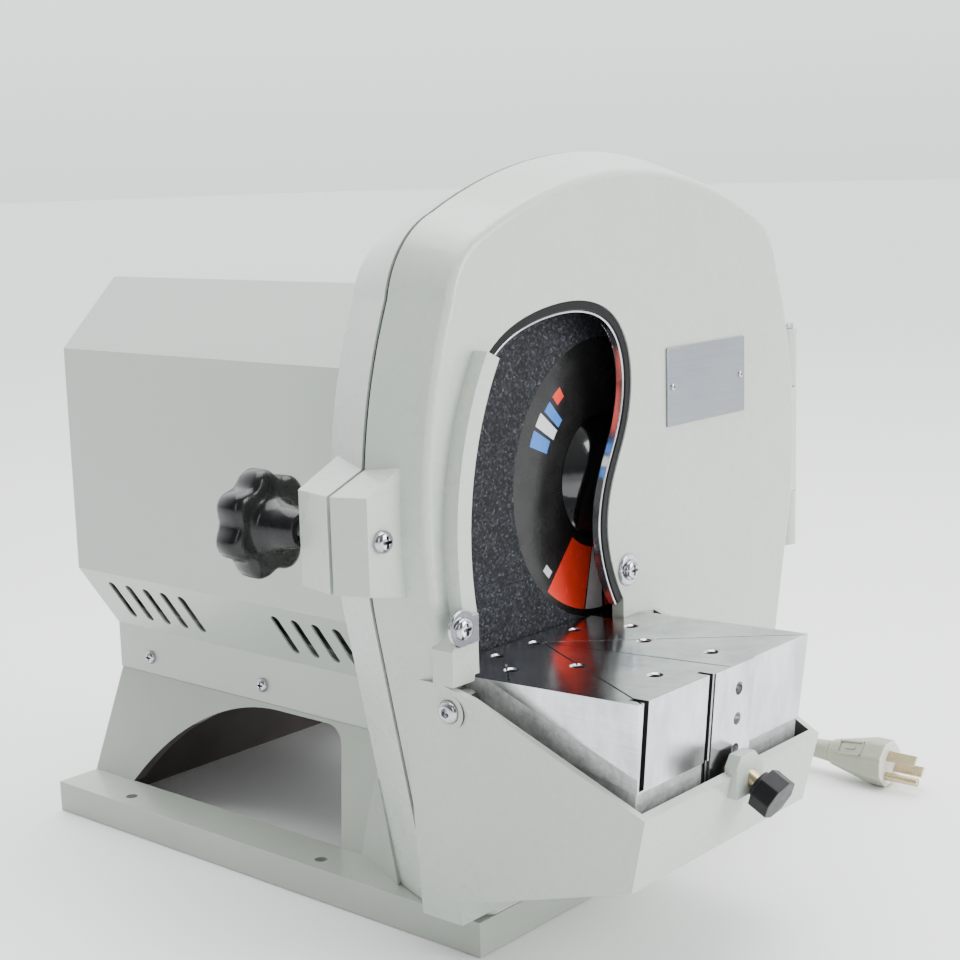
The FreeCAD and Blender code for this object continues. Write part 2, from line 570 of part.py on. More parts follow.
motor_y = "-motor_front"
frame_ring = cut(cylinder("motor_radius", "motor_length", (0, motor_y, "shaft_height"), "Y"),
                 cylinder("motor_radius - 8", "motor_length", (0, motor_y, "shaft_height"), "Y"))
feet = box(124, 100, 46, (-62, -85, "deck_top"))
feet_relief = [cylinder("motor_radius - 1", 110, (0, -90, "shaft_height"), "Y"),
               box(84, 110, 37, (-42, -90, "deck_top - 1")), box(20, 110, 40, (-64, -90, "deck_top + 8")),
               box(20, 110, 40, (44, -90, "deck_top + 8"))]
foot_holes = [cylinder(3.1, 20, (x, y, "deck_top - 5")) for x, y in motor_bolt_places]
node("motor_frame", cut(fuse(frame_ring, cut(feet, *feet_relief)), *foot_holes))
node("stator_core", tube("motor_radius - 8", 30.5, 84, (0, -77, "shaft_height"), "Y"))
for name, y in (("front_end_bell", "-motor_front - 13"), ("rear_end_bell", "-motor_front + motor_length")):
    bell = cylinder("motor_radius", 13, (0, y, "shaft_height"), "Y")
    node(name, cut(bell, cylinder("bearing_radius", 13, (0, y, "shaft_height"), "Y")))
for name, y in (("front_bearing", -108), ("rear_bearing", 26)):
    node(name, tube("bearing_radius", "shaft_radius + running_gap", "bearing_width", (0, y, "shaft_height"), "Y"))
node("shaft_seal", tube(14, "shaft_radius + running_gap", 6.5, (0, "-housing_inner_face", "shaft_height"), "Y"))
node("motor_bolts", doc.addObject("Part::Compound", "compound")).Links = [
    fuse(cylinder(5.5, 4, (x, y, "deck_top + 8")), cylinder(3, 18, (x, y, "deck_top - 10")))
    for x, y in motor_bolt_places]
node("housing_bolts", doc.addObject("Part::Compound", "compound")).Links = [
    fuse(cylinder(5.5, 4, (x, -140.5, z), "Y"), cylinder(3, 18, (x, -137, z), "Y"))
    for x, z in housing_bolt_places]
node("run_capacitor", cylinder(15, 70, (0, -70, "deck_top + 17"), "Y"))
node("capacitor_strap", cut(fuse(cylinder(16.5, 16, (0, -43, "deck_top + 17"), "Y"),
                                 box(40, 16, 2, (-20, -43, "deck_top"))),
                            cylinder(15, 16, (0, -43, "deck_top + 17"), "Y")))

# --- what turns ---

node("motor_shaft", cylinder("shaft_radius", 228, (0, -168, "shaft_height"), "Y"))
node("rotor_core", tube(30, "shaft_radius", 80, (0, -75, "shaft_height"), "Y"))
fan_parts = [tube(14, "shaft_radius", 14, (0, 42, "shaft_height"), "Y")]
blades = 8
for count in range(blades):
    blade = Part.makeBox(34, 12, 2.5, Vector(12, 43, -1.25))
    blade.rotate(Vector(), Vector(0, 1, 0), count * 360 / blades)
    blade.translate(Vector(0, 0, size["shaft_height"]))
    fan_parts.append(shaped(blade))
node("cooling_fan", fuse(*fan_parts))
node("drive_flange", tube(34, "shaft_radius", 12, (0, -162, "shaft_height"), "Y"))
node("backing_disc", tube("disc_radius - 1", "shaft_radius", 5, (0, -167, "shaft_height"), "Y"))
node("abrasive_ring", tube("disc_radius", "ring_inner_radius", 3, (0, "-disc_face", "shaft_height"), "Y"))
node("disc_label", tube("ring_inner_radius - 0.5", 9, 1, (0, -168, "shaft_height"), "Y"))
dome_radius, dome_height = 32.0, 13.0
ball_radius = (dome_radius ** 2 + dome_height ** 2) / (2 * dome_height)
half_angle = math.asin(dome_radius / ball_radius)
ball_depth = 168 + dome_height - ball_radius
base_centre = Vector(0, -168, size["shaft_height"])
apex = Vector(0, -168 - dome_height, size["shaft_height"])
rim = Vector(dome_radius, -168, size["shaft_height"])
on_arc = Vector(ball_radius * math.sin(half_angle / 2), -ball_depth - ball_radius * math.cos(half_angle / 2),
                size["shaft_height"])
dome_wire = Part.Wire([Part.Arc(apex, on_arc, rim).toShape(), Part.LineSegment(rim, base_centre).toShape(),
                       Part.LineSegment(base_centre, apex).toShape()])
node("hub_dome", shaped(turned(Part.Face(dome_wire).revolve(base_centre, Vector(0, 1, 0), 360))))

# --- water: valve, lever, barb, spray pipe, drain ---

node("water_valve", fuse(
    cylinder(6.9, 8, ("valve_across", -138, "valve_height"), "Y"),
    cylinder(10, 26, ("valve_across", -130, "valve_height"), "Y"),
    cylinder(6.5, 12, ("valve_across", -117, "valve_height"))))
node("hose_barb", fuse(
    cylinder(5, 26, ("valve_across", -104, "valve_height"), "Y"),
    cone(6.4, 4.6, 6, ("valve_across", -98, "valve_height"), "Y"),
    cone(6.4, 4.6, 6, ("valve_across", -90, "valve_height"), "Y")))
node("valve_lever", fuse(
    cylinder(5, 5, ("valve_across", -117, "valve_height + 12.3")),
    box(9, 34, 3, ("valve_across - 4.5", -117, "valve_height + 13.3"))))


def run_path(points, share=0.45):
    """Wire of straight runs joined by tangent arcs, and the radius of each arc."""
    edges, radii, start = [], [], points[0]
    for before, corner, after in zip(points, points[1:], points[2:]):
        back, ahead = (before - corner), (after - corner)
        half_turn = (math.pi - back.getAngle(ahead)) / 2
        reach = share * min(back.Length, ahead.Length)
        radius = reach / math.tan(half_turn)
        into, out = corner + back.normalize() * reach, corner + ahead.normalize() * reach
        inward = ((into - corner) + (out - corner)).normalize()
        apex = corner + inward * (radius / math.cos(half_turn) - radius)
        edges += [Part.LineSegment(start, into).toShape(), Part.Arc(into, apex, out).toShape()]
        radii.append(radius)
        start = out
    edges.append(Part.LineSegment(start, points[-1]).toShape())
    return Part.Wire(edges), radii


def pipe_along(points, radius):
    path, radii = run_path(points)
    start = points[0]
    ring = Part.Wire(Part.makeCircle(radius, start, points[1] - start))
    solid = path.makePipeShell([ring], True, True)
    return solid, path, radii


valve_x, valve_z = size["valve_across"], size["valve_height"]
spray_points = [Vector(valve_x, -138, valve_z), Vector(valve_x, -177, valve_z), Vector(valve_x - 50, -177, valve_z + 8)]
spray, spray_path, spray_radii = pipe_along(spray_points, size["pipe_radius"])
node("spray_pipe", shaped(turned(spray)))
node("drain_spout", tube(8, 6, 34, (36, "-housing_inner_face", 44), "Y"))

# --- rocker switch on the right of the motor cover ---

rocker_x, rocker_y, rocker_z = 101.0, -50.0, 160.0
node("switch_frame", cut(fuse(box(2.5, 32, 24, (102.5, -66, 148)), box(8, 27.6, 19.6, (95, -63.8, 150.2))),
                         box(20, 22, 16, (90, -61, 152)),
                         cylinder(2.05, 26, (rocker_x, rocker_y - 13, rocker_z), "Y")))
rocker_section = [(98, -6.4), (105.5, -6.4), (104.8, 0), (107.5, 6.4), (98, 6.4)]
rocker = prism([Vector(x, rocker_y - 10.5, rocker_z + z) for x, z in rocker_section], Vector(0, 21, 0))
node("switch_rocker", fuse(shaped(rocker), cylinder(2, 25, (rocker_x, rocker_y - 12.5, rocker_z), "Y")))

# --- power lead: gland, free lead in two stretches, coil and plug ---

gland_y, gland_z = size["gland_along"], size["gland_height"]
node("cable_gland", cut(fuse(
    cylinder(7.9, 16, (79, "gland_along", "gland_height"), "X"),
    cylinder(11, 6, (94.6, "gland_along", "gland_height"), "X"),
    cone(8, 5.2, 22, (100, "gland_along", "gland_height"), "X")),
    cylinder("lead_radius", 50, (78, "gland_along", "gland_height"), "X")))
floor_z = size["lead_radius"] + 0.2
coil_x, coil_y = size["coil_across"], -size["coil_depth"]
strand_x = coil_x + size["coil_outer_radius"] - size["lead_radius"]
plug_x, plug_y, plug_z = size["plug_across"], -size["plug_rear"], 13.3
gland_route = [Vector(101, gland_y, gland_z), Vector(134, gland_y, gland_z), Vector(165, 95, 34),
               Vector(190, 74, 18), Vector(206, 45, 6), Vector(213, 12, floor_z),
               Vector(strand_x, -20, floor_z), Vector(strand_x, coil_y + 15, floor_z)]
plug_route = [Vector(212, coil_y - 14, 17.7), Vector(213.5, coil_y - 38, 13.5),
              Vector(209, coil_y - 62, 4.6), Vector(197, coil_y - 82, 4.4),
              Vector(plug_x, plug_y + 25, plug_z), Vector(plug_x, plug_y, plug_z)]
lead_volume, lead_length = 0.0, 0.0
leads = []
for label, route in (("gland end", gland_route), ("plug end", plug_route)):
    solid, path, radii = pipe_along(route, size["lead_radius"])
    leads.append(turned(solid))
    lead_volume += leads[-1].Volume
    lead_length += path.Length
    print("lead,", label, "radii", [round(r, 1) for r in radii], "length", round(path.Length, 1))
print("lead volume over section times length",
      round(lead_volume / (math.pi * size["lead_radius"] ** 2 * lead_length), 4))
node("cord_lead", shaped(Part.makeCompound(leads)))
node("cord_coil", tube("coil_outer_radius", "coil_inner_radius", "coil_height",
                       ("coil_across", "-coil_depth", 0.1)))
mean_turn = math.pi * (size["coil_outer_radius"] + size["coil_inner_radius"])
print("one mean turn of the coil", round(mean_turn, 1))


def plug_section(depth, half, chamfer):
    corner = half - chamfer
    flat = [(half, -corner), (half, corner), (corner, half), (-corner, half),
            (-half, corner), (-half, -corner), (-corner, -half), (corner, -half)]
    return polygon([Vector(x, -depth, z) for x, z in flat])


def rolled(shape):
    shape.Placement = Placement(Vector(plug_x, plug_y, plug_z), Rotation(Vector(0, 1, 0), size["plug_roll"]))
    return shape


half_plug, plug_length = size["plug_half_width"], size["plug_length"]
plug = Part.makeLoft([plug_section(0, 7, 4), plug_section(plug_length - 10, half_plug, 7.5)], True, True)
plug = plug.fuse(Part.makeLoft([plug_section(plug_length - 10, half_plug, 7.5),
                                plug_section(plug_length, half_plug, 7.5)], True, True))
node("plug_body", shaped(rolled(plug.removeSplitter())))
node("plug_sleeve", cut(cone(4.6, 6.4, 22, ("plug_across", "-plug_rear + 22", "0 + 13.3"), "-Y"),
                        cylinder("lead_radius", 30, ("plug_across", "-plug_rear + 26", "0 + 13.3"), "-Y")))
blade_pair = [Part.makeBox(1.5, 17.5, 6.3, Vector(x - 0.75, -plug_length - 17.5, -1.5)) for x in (-6.35, 6.35)]
node("plug_blades", shaped(rolled(Part.makeCompound(blade_pair))))
node("plug_ground_pin", shaped(rolled(Part.makeCylinder(2.4, 20, Vector(0, -plug_length, -8), Vector(0, -1, 0)))))

# --- check and write ---

doc.recompute()
failed = [o.Label for o in doc.Objects if "Invalid" in o.State or "Error" in o.State]
failed += [name for name, obj in nodes.items() if obj.Shape.isNull() or not obj.Shape.isValid()]
if failed:
    raise RuntimeError(f"failed objects: {failed}")
os.makedirs("parts", exist_ok=True)
for name, obj in nodes.items():
    obj.Shape.exportStep(f"parts/{name}.step")
    bounds = obj.Shape.BoundBox
    print(f"{name:18s} solids {len(obj.Shape.Solids)} volume {obj.Shape.Volume:10.0f}",
          f"x {bounds.XMin:7.1f} {bounds.XMax:7.1f} y {bounds.YMin:7.1f} {bounds.YMax:7.1f}",
          f"z {bounds.ZMin:6.1f} {bounds.ZMax:6.1f}")
print(len(nodes), "nodes")
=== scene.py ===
import json
import math
import bmesh
import bpy
from mathutils import Matrix, Vector


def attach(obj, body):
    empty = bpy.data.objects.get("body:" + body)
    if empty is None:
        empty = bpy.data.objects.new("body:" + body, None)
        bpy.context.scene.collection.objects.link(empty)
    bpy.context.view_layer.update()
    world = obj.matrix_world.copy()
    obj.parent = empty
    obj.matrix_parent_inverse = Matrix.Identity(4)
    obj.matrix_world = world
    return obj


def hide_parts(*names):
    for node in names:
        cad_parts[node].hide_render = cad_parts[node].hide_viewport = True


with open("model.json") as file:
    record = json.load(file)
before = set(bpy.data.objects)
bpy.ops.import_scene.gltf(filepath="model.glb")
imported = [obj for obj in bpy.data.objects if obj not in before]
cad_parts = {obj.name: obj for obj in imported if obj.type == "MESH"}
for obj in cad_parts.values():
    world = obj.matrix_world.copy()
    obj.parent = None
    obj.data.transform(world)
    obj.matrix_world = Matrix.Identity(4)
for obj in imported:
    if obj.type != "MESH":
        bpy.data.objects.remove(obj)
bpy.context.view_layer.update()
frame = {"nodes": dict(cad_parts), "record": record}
bodyOf = {node: body for body, nodes in frame["record"]["behaviour"]["bodies"].items() for node in nodes}
mm = 0.001
print("frame loaded,", len(bodyOf), "nodes")

# shader nodes


def startMaterial(name, **sockets):
    material = bpy.data.materials.new(name)
    material.use_nodes = True
    shader = material.node_tree.nodes["Principled BSDF"]
    for socket, value in sockets.items():
        label = {"coat": "Coat Weight", "coatRoughness": "Coat Roughness", "anisotropy": "Anisotropic",
                 "specular": "Specular IOR Level"}.get(socket, socket.title())
        shader.inputs[label].default_value = value
    return material, material.node_tree, shader


def makeNode(tree, kind, sources=None, **settings):
    node = tree.nodes.new(kind)
    for key, value in settings.items():
        setattr(node, key, value)
    for socket, value in (sources or {}).items():
        if isinstance(value, bpy.types.NodeSocket):
            tree.links.new(value, node.inputs[socket])
        else:
            node.inputs[socket].default_value = value
    return node


def spot(tree, stretch=(1, 1, 1), shift=(0, 0, 0)):
    # object coordinates, moved and stretched
    coordinates = makeNode(tree, "ShaderNodeTexCoord").outputs["Object"]
    moved = makeNode(tree, "ShaderNodeVectorMath", {0: coordinates, 1: shift}, operation="ADD")
    return makeNode(tree, "ShaderNodeVectorMath", {0: moved.outputs[0], 1: stretch},
                    operation="MULTIPLY").outputs[0]


def noise(tree, scale, detail=3.0, stretch=(1, 1, 1), rough=0.5):
    return makeNode(tree, "ShaderNodeTexNoise", {"Vector": spot(tree, stretch), "Scale": scale,
                                                 "Detail": detail, "Roughness": rough}).outputs["Fac"]


def ramp(tree, value, stops):
    node = makeNode(tree, "ShaderNodeValToRGB", {"Fac": value})
    while len(node.color_ramp.elements) < len(stops):
        node.color_ramp.elements.new(0.5)
    for element, (position, colour) in zip(node.color_ramp.elements, stops):
        element.position = position
        element.color = (*colour, 1)
    return node.outputs["Color"]


def grey(value):
    return (value, value, value)


def calculate(tree, operation, first, second=0.0):
    return makeNode(tree, "ShaderNodeMath", {0: first, 1: second}, operation=operation).outputs[0]


def mapRange(tree, value, before, after, kind="LINEAR"):
    sources = {"Value": value, "From Min": before[0], "From Max": before[1],
               "To Min": after[0], "To Max": after[1]}
    return makeNode(tree, "ShaderNodeMapRange", sources, interpolation_type=kind).outputs["Result"]


def mixColour(tree, factor, first, second, kind="MIX"):
    node = makeNode(tree, "ShaderNodeMix", data_type="RGBA", blend_type=kind)
    for socket, value in ((0, factor), (6, first), (7, second)):
        if isinstance(value, bpy.types.NodeSocket):
            tree.links.new(value, node.inputs[socket])
        else:
            node.inputs[socket].default_value = value if socket == 0 else (*value, 1)
    return node.outputs[2]


def addBumps(tree, shader, *layers):
    # each layer is (height socket, depth in metres), laid over the one before
    normal = None
    for height, depth in layers:
        sources = {"Height": height, "Distance": depth, "Strength": 1.0}
        if normal is not None:
            sources["Normal"] = normal
        normal = makeNode(tree, "ShaderNodeBump", sources).outputs["Normal"]
    tree.links.new(normal, shader.inputs["Normal"])


def shade(colour, amount):
    return tuple(min(1.0, channel * amount) for channel in colour)


# camera and light

camera = {"place": (-0.6916, -0.6850, 0.3573), "yaw": 49.2, "pitch": 10.05, "roll": -1.6, "lens": 65.06}


def makeCamera(c):
    yaw, pitch, roll = (math.radians(c[key]) for key in ("yaw", "pitch", "roll"))
    ahead = Vector((math.sin(yaw) * math.cos(pitch), math.cos(yaw) * math.cos(pitch), -math.sin(pitch)))
    side = Vector((math.cos(yaw), -math.sin(yaw), 0))
    rise = side.cross(ahead)
    right = math.cos(roll) * side + math.sin(roll) * rise
    up = math.cos(roll) * rise - math.sin(roll) * side
    turn = Matrix((right, up, -ahead)).transposed()
    data = bpy.data.cameras.new("camera")
    data.lens = c["lens"]
    data.sensor_width = 36
    item = bpy.data.objects.new("camera", data)
    item.matrix_world = Matrix.Translation(c["place"]) @ turn.to_4x4()
    bpy.context.scene.collection.objects.link(item)
    bpy.context.scene.camera = item


lights = {
    # size is (wide, tall) in metres, power in watts
    "topLight": {"place": (0.1, -0.1, 1.9), "target": (0, 0, 0.1), "size": (1.6, 1.4), "power": 34},
    "frontLight": {"place": (0.7, -1.9, 0.9), "target": (0, -0.1, 0.15), "size": (1.0, 1.2), "power": 38},
    "edgeLight": {"place": (-1.25, -1.05, 0.75), "target": (-0.1, -0.1, 0.2), "size": (0.22, 0.9), "power": 3},
}


def makeLight(name, settings):
    data = bpy.data.lights.new(name, "AREA")
    data.shape = "RECTANGLE"
    data.size, data.size_y = settings["size"]
    data.energy = settings["power"]
    item = bpy.data.objects.new(name, data)
    item.location = settings["place"]
    aim = Vector(settings["target"]) - Vector(settings["place"])
    item.rotation_euler = aim.to_track_quat("-Z", "Y").to_euler()
    bpy.context.scene.collection.objects.link(item)


studio = {
    "towards": (0.72, 0.69, 0.0),  # where the backdrop is
    "backdrop": 2.35, "room": 0.27, "change": (-0.5, 0.75),  # brightness of each, and how they blend
    "rise": ((0.0, 0.9), (0.66, 1.8)),  # brighter overhead than at the horizon
    "skirt": ((0.0, 0.1), (1.45, 0.0)),  # a light band round the room, where the floor ends
    "tint": (0.96, 0.98, 1.0, 1),
}


def makeStudio(settings):
    # a lit white backdrop behind the machine, and a dimmer room on this side of it
    world = bpy.data.worlds.new("studio")
    world.use_nodes = True
    tree = world.node_tree
    direction = makeNode(tree, "ShaderNodeTexCoord").outputs["Generated"]
    facing = makeNode(tree, "ShaderNodeVectorMath", {0: direction, 1: settings["towards"]},
                      operation="DOT_PRODUCT").outputs["Value"]
    level = mapRange(tree, facing, settings["change"], (settings["room"], settings["backdrop"]), "SMOOTHSTEP")
    upward = makeNode(tree, "ShaderNodeSeparateXYZ", {0: direction}).outputs["Z"]
    strength = calculate(tree, "MULTIPLY", level, mapRange(tree, upward, *settings["rise"]))
    strength = calculate(tree, "MAXIMUM", strength, mapRange(tree, upward, *settings["skirt"]))
    background = tree.nodes["Background"]
    background.inputs["Color"].default_value = settings["tint"]
    tree.links.new(strength, background.inputs["Strength"])
    bpy.context.scene.world = world


makeCamera(camera)
for lightName, lightSettings in lights.items():
    makeLight(lightName, lightSettings)
makeStudio(studio)
print("camera and light set")

# materials


def surface(name, colour, spread=0.06, roughness=(0.3, 0.42), patch=35, grain=1100, grainDepth=0.00002,
            wave=60, waveDepth=0.0001, **sockets):
    # a painted, moulded or cast skin: patchy colour, uneven gloss, a fine grain over slow waves
    material, tree, shader = startMaterial(name, **sockets)
    patches = noise(tree, patch, 4)
    colours = ramp(tree, patches, [(0.3, shade(colour, 1 - spread)), (0.7, shade(colour, 1 + spread))])
    tree.links.new(colours, shader.inputs["Base Color"])
    gloss = ramp(tree, noise(tree, patch * 4, 5), [(0.3, grey(roughness[0])), (0.75, grey(roughness[1]))])
    tree.links.new(gloss, shader.inputs["Roughness"])
    addBumps(tree, shader, (noise(tree, wave, 2), waveDepth), (noise(tree, grain, 2), grainDepth))
    return material


def brushed(name, colour, along, scale, depth, roughness):
    # machined or brushed metal: fine lines one way, a few longer scratches, cloudy gloss
    material, tree, shader = startMaterial(name, metallic=1.0)
    lines = noise(tree, scale, 4, along, 0.65)
    clouds = noise(tree, 22, 4)
    colours = mixColour(tree, 0.5, ramp(tree, lines, [(0.35, shade(colour, 0.86)), (0.65, shade(colour, 1.06))]),
                        ramp(tree, clouds, [(0.3, shade(colour, 0.88)), (0.7, shade(colour, 1.05))]))
    tree.links.new(colours, shader.inputs["Base Color"])
    gloss = mixColour(tree, 0.5, ramp(tree, lines, [(0.3, grey(roughness[0])), (0.7, grey(roughness[1]))]),
                      ramp(tree, clouds, [(0.35, grey(roughness[0])), (0.75, grey(roughness[1]))]))
    tree.links.new(gloss, shader.inputs["Roughness"])
    scratches = noise(tree, 260, 2, (along[1] * 0.3, along[0] + 0.5, 1), 0.7)
    addBumps(tree, shader, (lines, depth), (scratches, depth * 1.5))
    return material


enamelColour = (0.48, 0.537, 0.478)
castEnamel = surface("castEnamel", enamelColour, 0.025, (0.24, 0.34), 18, 750, 0.000035, 45, 0.00022,
                     coat=0.35, coatRoughness=0.12)
sheetEnamel = surface("sheetEnamel", (0.47, 0.522, 0.468), 0.02, (0.28, 0.38), 12, 1300, 0.00002, 9, 0.0004,
                      coat=0.25, coatRoughness=0.16)
baseEnamel = surface("baseEnamel", (0.40, 0.437, 0.382), 0.035, (0.3, 0.42), 22, 600, 0.00005, 55, 0.0003,
                     coat=0.3, coatRoughness=0.15)
sealRubber = surface("sealRubber", (0.012, 0.012, 0.013), 0.3, (0.5, 0.7), 120, 1500, 0.00003)
glossBlack = surface("glossBlack", (0.004, 0.004, 0.0045), 0.3, (0.1, 0.2), 60, 1200, 0.000004, 80, 0.00004,
                     coat=0.9, coatRoughness=0.04, specular=0.5)
trimBlack = surface("trimBlack", (0.004, 0.004, 0.0045), 0.3, (0.3, 0.42), 60, 1200, 0.000006, specular=0.18)
# painted shade for the inside of the drip tray
trayPaintedShade = surface("trayPaintedShade", (0.055, 0.058, 0.055), 0.25, (0.35, 0.5), 45, 700, 0.00004, coat=0.1)
# dark brown painted shade for the inside of the stand
hollowPaintedShade = surface("hollowPaintedShade", (0.075, 0.064, 0.060), 0.15, (0.5, 0.65), 40, 600, 0.00008)
knobBlack = surface("knobBlack", (0.004, 0.004, 0.0045), 0.3, (0.2, 0.32), 90, 1600, 0.00001, 120, 0.00006,
                    coat=0.25, coatRoughness=0.06, specular=0.32)
lockKnobBlack = surface("lockKnobBlack", (0.005, 0.005, 0.006), 0.3, (0.34, 0.46), 90, 1800, 0.00002,
                        specular=0.3)
plugVinyl = surface("plugVinyl", (0.36, 0.375, 0.295), 0.05, (0.4, 0.52), 90, 1500, 0.00002, 150, 0.00005)
cordVinyl = surface("cordVinyl", (0.36, 0.375, 0.295), 0.06, (0.42, 0.55), 70, 1600, 0.00002, 200, 0.00006)
plugFace = surface("plugFace", (0.70, 0.69, 0.62), 0.04, (0.4, 0.5), 90, 1500, 0.00002)
fanPlastic = surface("fanPlastic", (0.03, 0.03, 0.032), 0.2, (0.4, 0.55), 90, 1200, 0.00003)
motorPaint = surface("motorPaint", (0.10, 0.12, 0.14), 0.15, (0.35, 0.5), 40, 500, 0.00008, 90, 0.0002)
canPlastic = surface("canPlastic", (0.62, 0.62, 0.58), 0.05, (0.4, 0.5), 60, 1500, 0.00001)
drainPlastic = surface("drainPlastic", (0.16, 0.17, 0.18), 0.1, (0.4, 0.55), 60, 1300, 0.00003)
chrome = brushed("chrome", (0.5, 0.51, 0.54), (0.5, 1, 1), 700, 0.000004, (0.07, 0.18))
beadChrome = brushed("beadChrome", (0.62, 0.63, 0.65), (0.5, 1, 1), 700, 0.000004, (0.12, 0.2))
# painted shade for the table's grooves, engraved lines and holes
groovePaintedShade = surface("groovePaintedShade", (0.012, 0.012, 0.013), 0.3, (0.5, 0.7), 120, 1500, 0.00003)
fastenerZinc = brushed("fastenerZinc", (0.5, 0.5, 0.49), (0.4, 1, 1), 900, 0.00001, (0.18, 0.32))
groundSteel = brushed("groundSteel", (0.5, 0.5, 0.51), (1, 0.05, 1), 900, 0.00001, (0.22, 0.34))
coreSteel = brushed("coreSteel", (0.28, 0.29, 0.31), (1, 6, 1), 500, 0.00006, (0.35, 0.5))
brass = brushed("brass", (0.55, 0.45, 0.29), (0.4, 1, 1), 160, 0.000004, (0.2, 0.32))
badgeMetal = brushed("badgeMetal", (0.30, 0.32, 0.35), (0.03, 1, 1), 1200, 0.000015, (0.26, 0.4))
bearingSteel = brushed("bearingSteel", (0.58, 0.58, 0.6), (1, 1, 1), 900, 0.000005, (0.12, 0.22))


def makeTableAlloy():
    # milled aluminium: soft mirror on the faces; where the casting was left rough, roughAlloy is used instead
    material, tree, shader = startMaterial("tableAlloy", metallic=1.0, anisotropy=0.35)
    lines = noise(tree, 1300, 4, (1, 0.03, 1), 0.6)
    clouds = noise(tree, 14, 5)
    stains = noise(tree, 45, 6, (1, 1, 0.4), 0.7)
    rough = ramp(tree, clouds, [(0.3, grey(0.14)), (0.6, grey(0.22)), (0.8, grey(0.32))])
    tint = mixColour(tree, 0.6, ramp(tree, lines, [(0.35, (0.58, 0.59, 0.61)), (0.65, (0.8, 0.81, 0.83))]),
                     ramp(tree, stains, [(0.36, (0.42, 0.43, 0.45)), (0.6, (0.78, 0.79, 0.81))]))
    tree.links.new(tint, shader.inputs["Base Color"])
    tree.links.new(rough, shader.inputs["Roughness"])
    scratches = noise(tree, 160, 2, (0.15, 1.4, 1), 0.75)
    addBumps(tree, shader, (lines, 0.000008), (scratches, 0.00002), (noise(tree, 30, 2), 0.00015))
    return material


def makeRoughAlloy():
    material, tree, shader = startMaterial("roughAlloy", metallic=0.35)
    pits = noise(tree, 420, 6, rough=0.7)
    blotches = noise(tree, 110, 5)
    tint = mixColour(tree, 0.5, ramp(tree, pits, [(0.3, grey(0.26)), (0.7, grey(0.72))]),
                     ramp(tree, blotches, [(0.3, grey(0.3)), (0.7, grey(0.66))]))
    tree.links.new(tint, shader.inputs["Base Color"])
    tree.links.new(ramp(tree, pits, [(0.3, grey(0.4)), (0.7, grey(0.62))]), shader.inputs["Roughness"])
    addBumps(tree, shader, (blotches, 0.0002), (pits, 0.00012))
    return material


def makeAbrasive():
    # black grit in resin: crystals stand proud and a few faces glint; the lightest grains are partly a painted
    # glint
    material, tree, shader = startMaterial("abrasiveGrit", specular=0.3)
    grit = makeNode(tree, "ShaderNodeTexVoronoi", {"Vector": spot(tree), "Scale": 950.0, "Randomness": 1.0})
    pick = makeNode(tree, "ShaderNodeSeparateColor", {0: grit.outputs["Color"]}).outputs["Red"]
    # grain tone varies at random; the lightest grains are partly a painted glint
    tint = ramp(tree, pick, [(0.0, (0.004, 0.004, 0.006)), (0.6, (0.010, 0.012, 0.016)),
                             (0.93, (0.028, 0.032, 0.040)), (0.99, (0.05, 0.055, 0.065))])
    cloud = ramp(tree, noise(tree, 26, 4), [(0.3, grey(0.75)), (0.7, grey(1.2))])
    tree.links.new(mixColour(tree, 1.0, tint, cloud, "MULTIPLY"), shader.inputs["Base Color"])
    tree.links.new(ramp(tree, pick, [(0.0, grey(0.8)), (0.9, grey(0.65)), (0.99, grey(0.4))]),
                   shader.inputs["Roughness"])
    crystals = ramp(tree, grit.outputs["Distance"], [(0.0, grey(1)), (0.6, grey(0))])
    addBumps(tree, shader, (crystals, 0.00012), (noise(tree, 2200, 3), 0.00005))
    return material


tableAlloy, roughAlloy, abrasiveGrit = makeTableAlloy(), makeRoughAlloy(), makeAbrasive()

label = {
    "height": 0.205,
    # each bar: from degrees, to degrees, inner radius, outer radius, colour
    "bars": [
        (-131, -103, 0.036, 0.0675, (0.80, 0.045, 0.025)),
        (-102, -90, 0.036, 0.0675, (0.55, 0.55, 0.56)),
        (-88, -66, 0.040, 0.0675, (0.80, 0.045, 0.025)),
        (150, 158, 0.046, 0.0600, (0.05, 0.20, 0.60)),
        (141, 148, 0.044, 0.0600, (0.68, 0.69, 0.71)),
        (133, 139, 0.044, 0.0580, (0.05, 0.20, 0.60)),
        (123, 130, 0.052, 0.0580, (0.78, 0.05, 0.02)),
        (-140, -134, 0.058, 0.0620, (0.6, 0.6, 0.6)),
    ],
}


